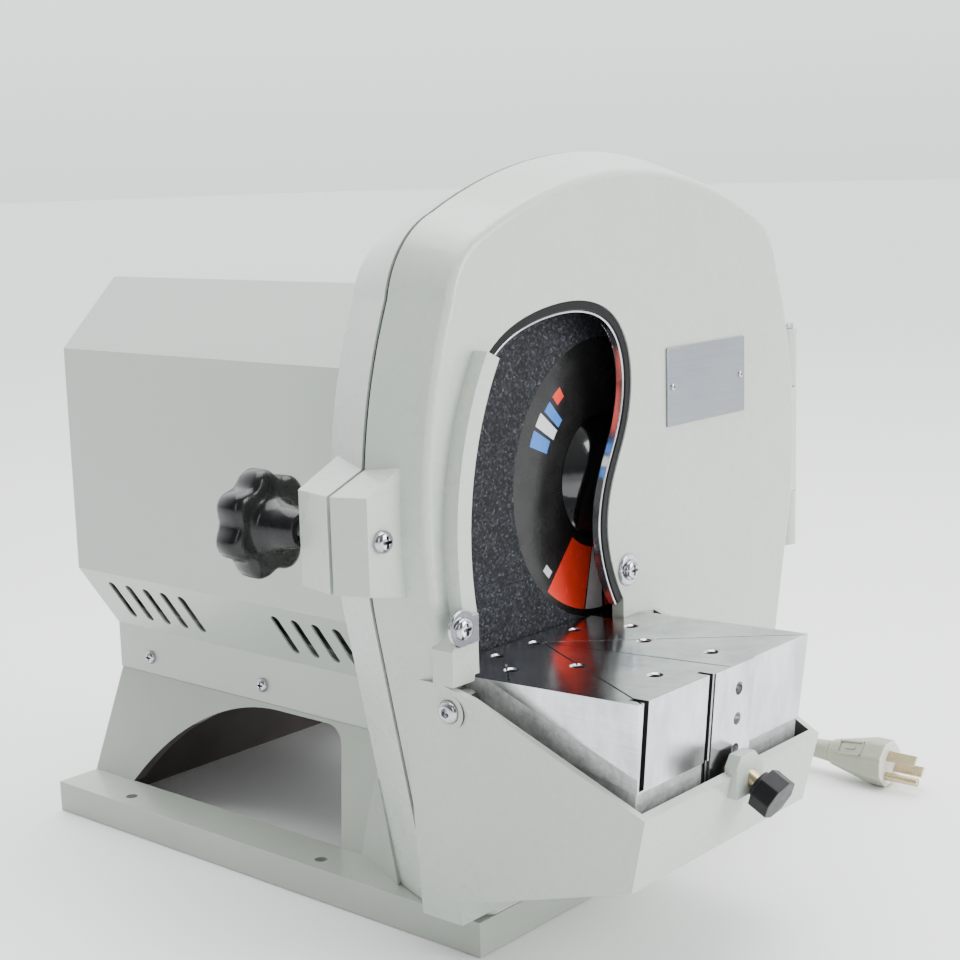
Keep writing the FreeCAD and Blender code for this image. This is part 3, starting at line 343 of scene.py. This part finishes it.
def makeLabel(settings):
    # black printed card with plain coloured bars round the hub
    material, tree, shader = startMaterial("discLabelPrint", coat=0.12, coatRoughness=0.1, specular=0.25)
    place = makeNode(tree, "ShaderNodeSeparateXYZ", {0: spot(tree, shift=(0, 0, -settings["height"]))})
    x, z = place.outputs["X"], place.outputs["Z"]
    angle = calculate(tree, "MULTIPLY", calculate(tree, "ARCTAN2", z, x), 180 / math.pi)
    radius = calculate(tree, "SQRT", calculate(tree, "ADD", calculate(tree, "MULTIPLY", x, x),
                                               calculate(tree, "MULTIPLY", z, z)))
    colour = ramp(tree, noise(tree, 60, 3), [(0.3, grey(0.008)), (0.7, grey(0.014))])
    for start, end, inner, outer, paint in settings["bars"]:
        inside = calculate(tree, "MULTIPLY",
                           calculate(tree, "MULTIPLY", calculate(tree, "GREATER_THAN", angle, start),
                                     calculate(tree, "LESS_THAN", angle, end)),
                           calculate(tree, "MULTIPLY", calculate(tree, "GREATER_THAN", radius, inner),
                                     calculate(tree, "LESS_THAN", radius, outer)))
        colour = mixColour(tree, inside, colour, paint)
    tree.links.new(colour, shader.inputs["Base Color"])
    gloss = ramp(tree, noise(tree, 90, 3), [(0.3, grey(0.2)), (0.7, grey(0.32))])
    tree.links.new(gloss, shader.inputs["Roughness"])
    addBumps(tree, shader, (noise(tree, 900, 2), 0.000015))
    return material


discLabelPrint = makeLabel(label)


floorPlane = {"size": 60, "drop": 0.0004, "roughness": 0.55, "tones": (0.93, 0.95)}


def makeFloor(settings):
    material, tree, shader = startMaterial("paleFloor", roughness=settings["roughness"])
    darker, lighter = settings["tones"]
    tint = ramp(tree, noise(tree, 3, 2), [(0.3, grey(darker)), (0.7, grey(lighter))])
    tree.links.new(tint, shader.inputs["Base Color"])
    bpy.ops.mesh.primitive_plane_add(size=settings["size"], location=(0, 0, -settings["drop"]))
    floor = bpy.context.object
    floor.name = "floor"
    floor.data.materials.append(material)


makeFloor(floorPlane)
print("materials made")

# making pieces


def addMesh(name, mesh, material, body):
    item = bpy.data.objects.new(name, mesh)
    bpy.context.scene.collection.objects.link(item)
    mesh.materials.clear()
    mesh.materials.append(material)
    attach(item, body)
    return item


def fromBmesh(name, built, material, body, smooth=35):
    mesh = bpy.data.meshes.new(name)
    bmesh.ops.recalc_face_normals(built, faces=built.faces)
    built.to_mesh(mesh)
    built.free()
    mesh.shade_smooth()
    mesh.set_sharp_from_angle(angle=math.radians(smooth))
    return addMesh(name, mesh, material, body)


def mergeFlats(mesh, gap):
    # takes out double points and the edges inside flat faces
    built = bmesh.new()
    built.from_mesh(mesh)
    bmesh.ops.remove_doubles(built, verts=built.verts, dist=gap)
    bmesh.ops.dissolve_limit(built, angle_limit=math.radians(0.8), verts=built.verts, edges=built.edges)
    built.to_mesh(mesh)
    built.free()
    return mesh


def tidied(node):
    return mergeFlats(frame["nodes"][node].data.copy(), 0.004 * mm)


sharpAngle = math.radians(32)


def easeCorners(item, width, steps=2):
    item.data.shade_smooth()
    item.data.set_sharp_from_angle(angle=sharpAngle)
    modifier = item.modifiers.new("ease", "BEVEL")
    modifier.width = width
    modifier.segments = steps
    modifier.limit_method = "ANGLE"
    modifier.angle_limit = sharpAngle
    modifier.use_clamp_overlap = True
    weighted = item.modifiers.new("shading", "WEIGHTED_NORMAL")
    weighted.keep_sharp = True


def finished(node, material, width):
    # the CAD shape again with its corners eased, in place of the plain one
    item = addMesh(node + "Finish", tidied(node), material, bodyOf[node])
    easeCorners(item, width)
    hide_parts(node)
    return item


def combine(item, mesh, operation):
    # joins a mesh to the item, or cuts it away
    other = bpy.data.objects.new("other", mesh)
    bpy.context.scene.collection.objects.link(other)
    modifier = item.modifiers.new("combine", "BOOLEAN")
    modifier.object = other
    modifier.operation = operation
    modifier.solver = "EXACT"
    graph = bpy.context.evaluated_depsgraph_get()
    graph.update()
    joined = bpy.data.meshes.new_from_object(item.evaluated_get(graph))
    item.modifiers.clear()
    item.data = joined
    bpy.data.objects.remove(other)


def addLathe(built, profile, place, axis):
    # profile is (radius, distance along the axis), from one end to the other, in millimetres
    count = 40
    turn = Vector((0, 0, 1)).rotation_difference(Vector(axis)).to_matrix()
    rings = []
    for radius, along in profile:
        angles = [2 * math.pi * step / count for step in range(count)] if radius else [0.0]
        rings.append([built.verts.new(Vector(place) * mm + turn @ Vector(
            (radius * math.cos(angle), radius * math.sin(angle), along)) * mm) for angle in angles])
    for first, second in zip(rings, rings[1:]):
        for step in range(count):
            after = (step + 1) % count
            corners = [first[step % len(first)], first[after % len(first)],
                       second[after % len(second)], second[step % len(second)]]
            built.faces.new(list(dict.fromkeys(corners)))


def addPrism(built, outline, near, far, place, axis, taper):
    # outline is points across the axis in millimetres, drawn in towards the far end
    turn = Vector((0, 0, 1)).rotation_difference(Vector(axis)).to_matrix()
    ends = [[built.verts.new(Vector(place) * mm + turn @ Vector((x * scale, y * scale, along)) * mm)
             for x, y in outline] for along, scale in ((near, 1.0), (far, taper))]
    built.faces.new(ends[0])
    built.faces.new(list(reversed(ends[1])))
    for step in range(len(outline)):
        after = (step + 1) % len(outline)
        built.faces.new([ends[0][step], ends[1][step], ends[1][after], ends[0][after]])


def crossOutline(arm, half):
    corner = [(arm, -half), (arm, half), (half, half)]
    points = []
    for turn in range(4):
        angle = turn * math.pi / 2
        points += [(x * math.cos(angle) - y * math.sin(angle), x * math.sin(angle) + y * math.cos(angle))
                   for x, y in corner]
    return points


def hexOutline(radius):
    return [(radius * math.cos(math.radians(60 * step)), radius * math.sin(math.radians(60 * step)))
            for step in range(6)]


# shares of the head's radius and height
panHead = [(1, 0), (1, 0.3), (0.95, 0.55), (0.82, 0.78), (0.6, 0.93), (0.3, 0.99), (0, 1)]


def makeScrews(node, settings, material):
    # pan heads with a cross or hexagon recess
    built, cutters = bmesh.new(), bmesh.new()
    radius, height, shank = settings["radius"], settings["height"], settings["shank"]
    profile = [(0, -shank), (0.4 * radius, -shank), (0.4 * radius, 0)]
    profile += [(across * radius, along * height) for across, along in panHead]
    outline = crossOutline(0.58 * radius, 0.15 * radius)
    if settings["recess"] == "hexagon":
        outline = hexOutline(0.5 * radius)
    for place, axis in settings["heads"]:
        addLathe(built, profile, place, axis)
        addPrism(cutters, outline, height + 1, 0.35 * height, place, axis, 0.75)
    item = fromBmesh(node + "Finish", built, material, bodyOf[node])
    bmesh.ops.recalc_face_normals(cutters, faces=cutters.faces)
    mesh = bpy.data.meshes.new("cutters")
    cutters.to_mesh(mesh)
    cutters.free()
    combine(item, mesh, "DIFFERENCE")
    item.data.set_sharp_from_angle(angle=math.radians(35))
    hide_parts(node)
    return item


plainFinishes = {
    # node: (material, corner radius)
    "base_stand": (baseEnamel, 1.6 * mm), "wheel_housing": (castEnamel, 1.2 * mm),
    "housing_seal": (sealRubber, 0.3 * mm), "hinge_pin": (fastenerZinc, 0.4 * mm),
    "window_trim": (trimBlack, 0.7 * mm), "trim_bead": (beadChrome, 0.4 * mm),
    "motor_cover": (sheetEnamel, 0.6 * mm), "motor_frame": (motorPaint, 0.8 * mm),
    "stator_core": (coreSteel, 0.4 * mm), "front_end_bell": (motorPaint, 0.8 * mm),
    "rear_end_bell": (motorPaint, 0.8 * mm), "front_bearing": (bearingSteel, 0.5 * mm),
    "rear_bearing": (bearingSteel, 0.5 * mm), "shaft_seal": (sealRubber, 0.4 * mm),
    "motor_bolts": (fastenerZinc, 0.4 * mm), "housing_bolts": (fastenerZinc, 0.4 * mm),
    "run_capacitor": (canPlastic, 1.2 * mm), "capacitor_strap": (fastenerZinc, 0.2 * mm),
    "motor_shaft": (groundSteel, 0.6 * mm), "rotor_core": (coreSteel, 0.4 * mm),
    "cooling_fan": (fanPlastic, 0.5 * mm), "drive_flange": (groundSteel, 0.6 * mm),
    "backing_disc": (fastenerZinc, 0.5 * mm), "abrasive_ring": (abrasiveGrit, 0.3 * mm),
    "disc_label": (discLabelPrint, 0.1 * mm), "hub_dome": (glossBlack, 0.6 * mm),
    "pivot_pin": (fastenerZinc, 0.3 * mm), "left_clip": (chrome, 0.6 * mm), "right_clip": (chrome, 0.6 * mm),
    "badge_plate": (badgeMetal, 0.4 * mm), "table_lock_knob": (lockKnobBlack, 1.3 * mm),
    "table_lock_stud": (brass, 0.3 * mm), "clamp_stud": (fastenerZinc, 0.4 * mm),
    "water_valve": (brass, 0.5 * mm), "hose_barb": (brass, 0.3 * mm), "valve_lever": (brass, 0.5 * mm),
    "spray_pipe": (chrome, 0.2 * mm), "drain_spout": (drainPlastic, 0.5 * mm),
    "switch_frame": (knobBlack, 0.5 * mm), "switch_rocker": (glossBlack, 0.6 * mm),
    "cable_gland": (knobBlack, 0.5 * mm), "plug_sleeve": (plugVinyl, 0.5 * mm),
    "plug_blades": (brass, 0.2 * mm), "plug_ground_pin": (brass, 0.3 * mm),
}
piece = {}
for nodeName, (finish, corner) in plainFinishes.items():
    piece[nodeName] = finished(nodeName, finish, corner)
print("CAD pieces finished,", len(piece))

# the stand's inside gets a dark brown painted shade
standHollow = {"half": 97.5, "front": -122.5, "rear": 122.5, "low": 17.2, "middle": 60, "top": 105.0,
               "facing": 0.25}


def shadeHollow(item, hollow):
    item.data.materials.append(hollowPaintedShade)
    for face in item.data.polygons:
        centre = face.center / mm
        inward = Vector((-centre.x, -centre.y, hollow["middle"] - centre.z)).normalized()
        inside = (abs(centre.x) < hollow["half"] and hollow["front"] < centre.y < hollow["rear"]
                  and hollow["low"] < centre.z < hollow["top"])
        # faces inside the hollow that face inward get the painted shade
        if inside and face.normal.dot(inward) > hollow["facing"]:
            face.material_index = 1


shadeHollow(piece["base_stand"], standHollow)

# screws: each head is its place and the way it faces
coverScrews = {"heads": [((side * 76.5, y, 84.0), (side, 0, 0)) for side in (-1, 1) for y in (103, 7, -89)],
               "radius": 4.0, "height": 2.7, "shank": 1.4, "recess": "cross"}
clipScrews = {"heads": [((-143.5, -199.8, 162), (0, -1, 0)), ((-7.5, -191.5, 161), (0, -1, 0))],
              "radius": 5.2, "height": 2.8, "shank": 6, "recess": "cross"}
bossScrew = {"heads": [((-170, -178, 203), (0, -1, 0))], "radius": 5.2, "height": 4.0, "shank": 2.4,
             "recess": "cross"}
pivotScrew = {"heads": [((-146.6, -193, 124), (-1, 0, 0))], "radius": 5.4, "height": 3.1, "shank": 24,
              "recess": "hexagon"}
badgeRivets = {"heads": [((x, -191.2, 248), (0, -1, 0)) for x in (31.5, 94.5)], "radius": 1.9, "height": 1.0,
               "shank": 0.9, "recess": "cross"}
for nodeName, settings in (("cover_screws", coverScrews), ("clip_screws", clipScrews), ("boss_screw", bossScrew),
                           ("pivot_screw", pivotScrew), ("badge_rivets", badgeRivets)):
    piece[nodeName] = makeScrews(nodeName, settings, chrome)
print("screws made")

# hinged cover and its drip tray, which are one casting to the eye
doorCasting = {
    "nodes": ("front_cover", "drip_tray"), "corner": 1.2 * mm,
    # the space inside the tray, whose walls and floor get a dark painted shade
    "tray": {"middle": (-65, -238), "half": 82, "front": -290.2, "back": -190.2, "rim": 135, "floor": 70},
}


def makeDoorCasting(settings):
    first, second = settings["nodes"]
    item = addMesh("doorCasting", tidied(first), castEnamel, bodyOf[first])
    combine(item, tidied(second), "UNION")
    mergeFlats(item.data, 0.01 * mm)
    item.data.materials.append(trayPaintedShade)
    tray = settings["tray"]
    middleX, middleY = tray["middle"]
    for face in item.data.polygons:
        centre = face.center / mm
        inward = Vector((middleX - centre.x, middleY - centre.y, 0)).normalized()
        inside = (tray["front"] < centre.y < tray["back"] and centre.z < tray["rim"]
                  and abs(centre.x - middleX) < tray["half"])
        wall = face.normal.dot(inward) > 0.3 and face.normal.x < 0.5
        # the tray's inner walls and floor get the dark painted shade
        if inside and (wall or (face.normal.z > 0.5 and centre.z < tray["floor"])):
            face.material_index = 1
    easeCorners(item, settings["corner"], 3)
    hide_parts(first, second)
    return item


piece["front_cover"] = makeDoorCasting(doorCasting)
print("door casting joined")

# star knob of the clamp, with round lobes
starKnob = {
    "centre": (-170, -112, 203), "lobes": 7, "phase": 0.35 + math.pi / 7, "roundness": 1.25, "around": 168,
    # distance behind the front rim, radius, depth of the hollows between lobes
    "sections": [(-18.8, 5.2, 0), (-18.8, 7.4, 0), (-18.2, 8.1, 0), (-8, 10.4, 0), (-2.6, 11.9, 0), (-0.7, 13.6, 0),
                 (0.1, 16.5, 0.2), (0.4, 19.5, 1.2), (0.9, 22.2, 2.4), (2.2, 24.3, 3.3), (4.4, 25.4, 3.7),
                 (8.5, 25.5, 3.8), (12.6, 25.3, 3.7), (14.6, 24.2, 3.3), (16.0, 22.0, 2.2), (16.8, 18.5, 0.8),
                 (17.0, 12, 0), (17.0, 5.2, 0)],
}


def makeStarKnob(settings):
    built = bmesh.new()
    count = settings["around"]
    x, y, z = settings["centre"]
    rings = []
    for along, radius, hollow in settings["sections"]:
        ring = []
        for step in range(count):
            angle = 2 * math.pi * step / count
            swell = 0.5 + 0.5 * math.cos(settings["lobes"] * (angle - settings["phase"]))
            reach = radius - hollow * (1 - swell) ** settings["roundness"]
            ring.append(built.verts.new(Vector((x + reach * math.cos(angle), y + along,
                                                z + reach * math.sin(angle))) * mm))
        rings.append(ring)
    for first, second in zip(rings, rings[1:] + rings[:1]):
        for step in range(count):
            after = (step + 1) % count
            built.faces.new([first[step], first[after], second[after], second[step]])
    item = fromBmesh("starKnob", built, knobBlack, "clamp", 50)
    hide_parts("clamp_knob")
    return item


piece["clamp_knob"] = makeStarKnob(starKnob)
print("star knob made")

# work table: milled faces, rough-cast flank, dark painted shade in its grooves, engraved lines and holes
workTable = {
    "pivot": (-65, -193, 124), "raise": 2.0, "corner": 0.5 * mm,
    "flank": -128, "castLine": ((-190, 143), (-282, 107)),  # below this line the flank is rough
    # measured from the pivot, with the table level
    "top": 13.2, "lineDepth": 0.9, "front": -93, "skirtTop": -18, "skirtFront": -88,
    "grooves": ((-64.4, -60.6), (-15.5, -12.5)), "grooveBack": -84.5, "holeRadius": 3.2,
    "holes": ((-26.4, -72), (18.4, -72), (-30.8, -33), (20.5, -33), (-51, -11), (41, -11), (-34.9, 10.5),
              (-7.3, 10.5), (22, 9.5)),
}


def makeWorkTable(settings):
    item = addMesh("workTable", tidied("work_table"), tableAlloy, "table")
    item.data.materials.append(roughAlloy)
    item.data.materials.append(groovePaintedShade)
    built = bmesh.new()
    built.from_mesh(item.data)
    (nearY, nearZ), (farY, farZ) = settings["castLine"]
    linePoint = Vector((0, nearY, nearZ)) * mm
    rise = Vector((0, nearZ - farZ, farY - nearY)).normalized() * -1
    flank = [face for face in built.faces
             if face.normal.x < -0.9 and face.calc_center_median().x < settings["flank"] * mm]
    parts = set(flank)
    for face in flank:
        parts.update(face.edges, face.verts)
    bmesh.ops.bisect_plane(built, geom=list(parts), dist=0.001 * mm, plane_co=linePoint, plane_no=rise)
    toLocal = Matrix.Rotation(math.radians(settings["raise"]), 3, "X")
    for face in built.faces:
        centre = face.calc_center_median()
        local = toLocal @ (centre / mm - Vector(settings["pivot"]))
        lineFloor = settings["top"] - settings["lineDepth"]
        inGroove = local.y < settings["grooveBack"] and abs(local.y - settings["front"]) > 0.05 and any(
            low < local.x < high for low, high in settings["grooves"])
        inLine = (lineFloor < local.z < settings["top"] - 0.1 and face.calc_area() < 250 * mm * mm
                  and face.normal.z > 0.9)
        inHole = local.z < lineFloor and face.normal.z < 0.5 and any(
            math.hypot(local.x - x, local.y - y) < settings["holeRadius"] for x, y in settings["holes"])
        roughFlank = (face.normal.x < -0.9 and centre.x < settings["flank"] * mm
                      and (centre - linePoint).dot(rise) < 0)
        skirt = (abs(face.normal.z) < 0.4 and local.z < settings["skirtTop"]
                 and local.y > settings["skirtFront"])
        # grooves, engraved lines and holes get the dark painted shade
        if inGroove or inLine or inHole:
            face.material_index = 2
        elif roughFlank or skirt or face.normal.z < -0.3:
            face.material_index = 1
    built.to_mesh(item.data)
    built.free()
    easeCorners(item, settings["corner"])
    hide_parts("work_table")
    return item


piece["work_table"] = makeWorkTable(workTable)
print("work table made")

# plug: grey-green body, pale face, a raised panel on its flat
plug = {
    "corner": 1.6 * mm, "place": (188, -196, 13.3), "roll": 45.0,
    "flat": 7, "taper": 6 / 28,  # the flat's distance from the axis, and how it grows along the body
    "panel": {"along": (7.5, 24.5), "half": 4.6, "rim": 1.1, "sink": 0.8, "rise": 0.7, "inset": 5,
              "barHalf": 0.9},
}


def makePlug(settings):
    item = addMesh("plugBody", tidied("plug_body"), plugVinyl, "stand")
    item.data.materials.append(plugFace)
    for face in item.data.polygons:
        if face.normal.y < -0.9:
            face.material_index = 1
    easeCorners(item, settings["corner"], 3)
    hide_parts("plug_body")
    panel = settings["panel"]
    built = bmesh.new()
    start, end = panel["along"]
    bars = [(start, start + panel["rim"], -panel["half"], panel["half"]),
            (end - panel["rim"], end, -panel["half"], panel["half"]),
            (start, end, -panel["half"], -panel["half"] + panel["rim"]),
            (start, end, panel["half"] - panel["rim"], panel["half"]),
            (start + panel["inset"], end - panel["inset"], -panel["barHalf"], panel["barHalf"])]
    turn = Matrix.Rotation(math.radians(settings["roll"]), 3, "Y")
    for first, last, low, high in bars:
        corners = []
        for lift in (-panel["sink"], panel["rise"]):
            for along, across in ((first, low), (last, low), (last, high), (first, high)):
                flat = settings["flat"] + along * settings["taper"] + lift
                point = Vector(settings["place"]) + turn @ Vector((-flat, -along, across))
                corners.append(built.verts.new(point * mm))
        for face in ((0, 1, 2, 3), (4, 5, 6, 7), (0, 1, 5, 4), (1, 2, 6, 5), (2, 3, 7, 6), (3, 0, 4, 7)):
            built.faces.new([corners[index] for index in face])
    rim = fromBmesh("plugPanel", built, plugVinyl, "stand")
    easeCorners(rim, 0.25 * mm)
    return item, rim


piece["plug_body"], piece["plugPanel"] = makePlug(plug)
print("plug made")

# power lead

lead = {
    "radius": 3.5 * mm,
    "start": [(101, 104, 44), (134, 104, 44), (165, 95, 34), (190, 74, 18), (206, 45, 6), (213, 12, 3.7),
              (215, -20, 3.7), (215.2, -48, 3.7)],
    "finish": [(212, -82, 17.2), (213.5, -102, 13.0), (209, -126, 4.6), (197, -146, 4.4), (188, -171, 13.3),
               (188, -196, 13.3)],
    "length": 1.57, "perTurn": 16, "wraps": 5, "spread": 0.8,
    "coilCentre": (173.5, -64), "outer": 41.5, "inner": 34.5, "top": 38.0, "layers": (3.7, 10.9, 18.0),
    # where along the wraps, in turns, the lead changes radius and climbs
    "goIn": (0.78, 1.02), "goOut": (2.78, 3.02), "goTop": (3.8, 4.0), "climbs": ((1.72, 1.98), (3.52, 3.78)),
}


def easeStep(value, start, end):
    share = min(1.0, max(0.0, (value - start) / (end - start)))
    return share * share * (3 - 2 * share)


def coilPoints(c):
    # wound from the outside in, back out on the second layer and once round on top
    points = []
    low, middle, high = c["layers"]
    outer, inner = c["outer"], c["inner"]
    firstClimb, secondClimb = c["climbs"]
    control = 1 / math.cos(math.pi / c["perTurn"]) ** c["spread"]  # the spline runs a little inside its points
    for count in range(1, c["wraps"] * c["perTurn"] + 1):
        turn = count / c["perTurn"]
        radius = outer + (inner - outer) * easeStep(turn, *c["goIn"])
        radius += (outer - inner) * easeStep(turn, *c["goOut"])
        radius += (c["top"] - outer) * easeStep(turn, *c["goTop"])
        height = low + (middle - low) * easeStep(turn, *firstClimb)
        height += (high - middle) * easeStep(turn, *secondClimb)
        angle = -2 * math.pi * turn
        points.append((c["coilCentre"][0] + control * radius * math.cos(angle),
                       c["coilCentre"][1] + control * radius * math.sin(angle), height))
    return points


def makeLead(c):
    points = c["start"] + coilPoints(c) + c["finish"]
    curve = bpy.data.curves.new("powerLead", "CURVE")
    curve.dimensions = "3D"
    spline = curve.splines.new("NURBS")
    spline.points.add(len(points) - 1)
    for control, point in zip(spline.points, points):
        control.co = (*(Vector(point) * mm), 1)
    spline.order_u = 3
    spline.use_endpoint_u = True
    spline.resolution_u = 6
    curve.bevel_depth = c["radius"]
    curve.bevel_resolution = 5
    curve.use_fill_caps = True
    curve.materials.append(cordVinyl)
    item = bpy.data.objects.new("powerLead", curve)
    bpy.context.scene.collection.objects.link(item)
    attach(item, "stand")
    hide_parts("cord_lead", "cord_coil")
    return item


powerLead = makeLead(lead)
coilTie = {"angle": 200.0, "inside": (29.6, 46.4), "tall": (0.3, 22.4), "thick": 1.2, "wide": 6.0, "round": 5.0}


def makeCoilTie(settings):
    # a soft strap round the coil's wraps
    built = bmesh.new()
    turned = math.radians(settings["angle"])
    radial = Vector((math.cos(turned), math.sin(turned), 0))
    along = Vector((-radial.y, radial.x, 0))
    centre = Vector((*lead["coilCentre"], 0))
    (nearR, farR), (low, high) = settings["inside"], settings["tall"]
    loops = []
    for inset in (0, settings["thick"]):
        for shift in (-settings["wide"] / 2, settings["wide"] / 2):
            loop = []
            soft = settings["round"] - inset
            for cornerR, cornerZ, start in ((farR, high, 0), (nearR, high, 90),
                                            (nearR, low, 180), (farR, low, 270)):
                signR, signZ = (-1 if cornerR == farR else 1), (-1 if cornerZ == high else 1)
                middleR = cornerR + signR * settings["round"]
                middleZ = cornerZ + signZ * settings["round"]
                for step in range(7):
                    angle = math.radians(start + 15 * step)
                    point = centre + radial * (middleR + soft * math.cos(angle)) + along * shift
                    point.z = middleZ + soft * math.sin(angle)
                    loop.append(built.verts.new(point * mm))
            loops.append(loop)
    count = len(loops[0])
    for first, second in ((0, 1), (2, 3), (0, 2), (1, 3)):
        for step in range(count):
            after = (step + 1) % count
            built.faces.new([loops[first][step], loops[first][after],
                             loops[second][after], loops[second][step]])
    return fromBmesh("coilTie", built, knobBlack, "stand", 50)


piece["coilTie"] = makeCoilTie(coilTie)
print("power lead laid")
